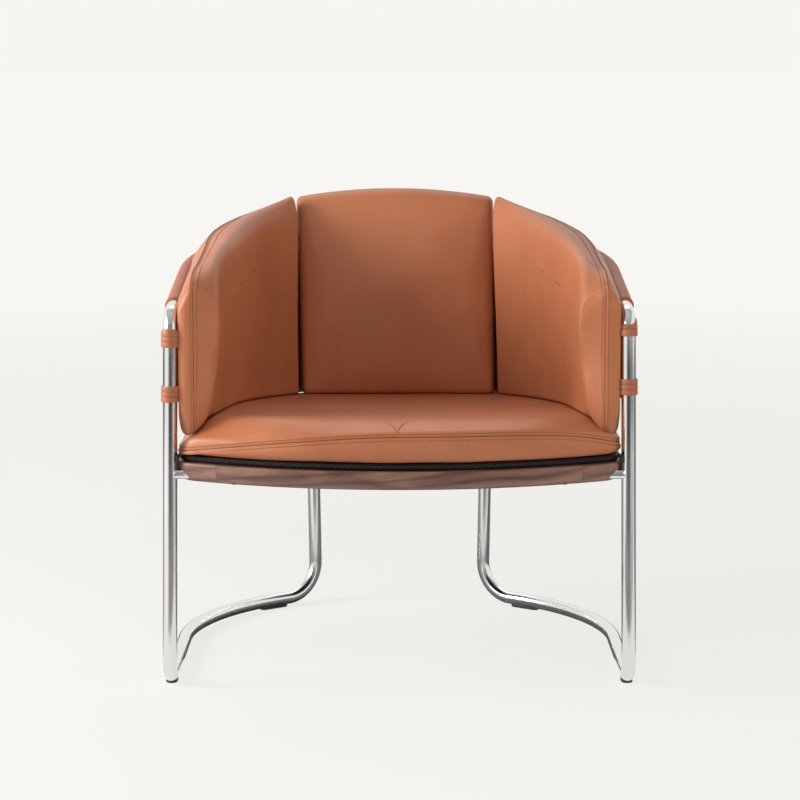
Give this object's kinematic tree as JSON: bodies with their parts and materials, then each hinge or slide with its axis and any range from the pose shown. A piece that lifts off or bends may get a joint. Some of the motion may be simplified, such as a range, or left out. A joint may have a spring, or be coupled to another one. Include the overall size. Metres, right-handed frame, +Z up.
{
  "type": "equipale chair",
  "caption": "Low barrel lounge chair: bent steel tube frame, round walnut seat ring with laced leather sling, leather back shell, loose seat, wing and back cushions.",
  "frame": {"origin": "centre of the bounding box, on the floor under the foot pads", "axes": "+Z up, -Y towards the front of the seat, +X to the right as seen from the front"},
  "size_m": [0.7306, 0.7486, 0.745],
  "materials": {
    "steel": "satin polished steel tube",
    "dark_steel": "blackened steel",
    "hoop_aluminium": "plain mill finish, hidden in the sling's rim",
    "walnut": "oiled walnut with dark streaks",
    "saddle_leather": "dark brown saddle leather, smooth",
    "strap_leather": "tan saddle leather, matt",
    "cushion_leather": "tan cushion leather, soft sheen",
    "lace": "waxed flat lace",
    "rubber": "matt black rubber"
  },
  "bodies": {
    "root": {"top_rail": "steel", "left_leg_tube": "steel", "right_leg_tube": "steel", "left_front_pad": "rubber", "left_rear_pad": "rubber", "right_front_pad": "rubber", "right_rear_pad": "rubber", "left_frame_ferrule": "dark_steel", "right_frame_ferrule": "dark_steel", "front_cross_tube": "steel", "left_rear_stub": "steel", "right_rear_stub": "steel", "left_front_ring_screw": "dark_steel", "right_front_ring_screw": "dark_steel", "left_rear_ring_screw": "dark_steel", "right_rear_ring_screw": "dark_steel", "ring_front_segment": "walnut", "ring_rear_segment": "walnut", "ring_left_segment": "walnut", "ring_right_segment": "walnut", "sling_hoop": "hoop_aluminium", "seat_sling": "saddle_leather", "sling_lace": "lace", "left_ring_buffer": "rubber", "right_ring_buffer": "rubber", "left_upper_strap": "strap_leather", "left_lower_strap": "strap_leather", "right_upper_strap": "strap_leather", "right_lower_strap": "strap_leather", "left_leg_upper_strap": "strap_leather", "left_leg_lower_strap": "strap_leather", "right_leg_upper_strap": "strap_leather", "right_leg_lower_strap": "strap_leather", "rail_strap_1": "strap_leather", "rail_strap_2": "strap_leather", "rail_strap_3": "strap_leather", "back_shell": "saddle_leather", "left_arm_wrap": "strap_leather", "right_arm_wrap": "strap_leather", "seat_cushion": "cushion_leather", "left_wing_cushion": "cushion_leather", "right_wing_cushion": "cushion_leather", "back_cushion": "cushion_leather"}
  },
  "joints": []
}
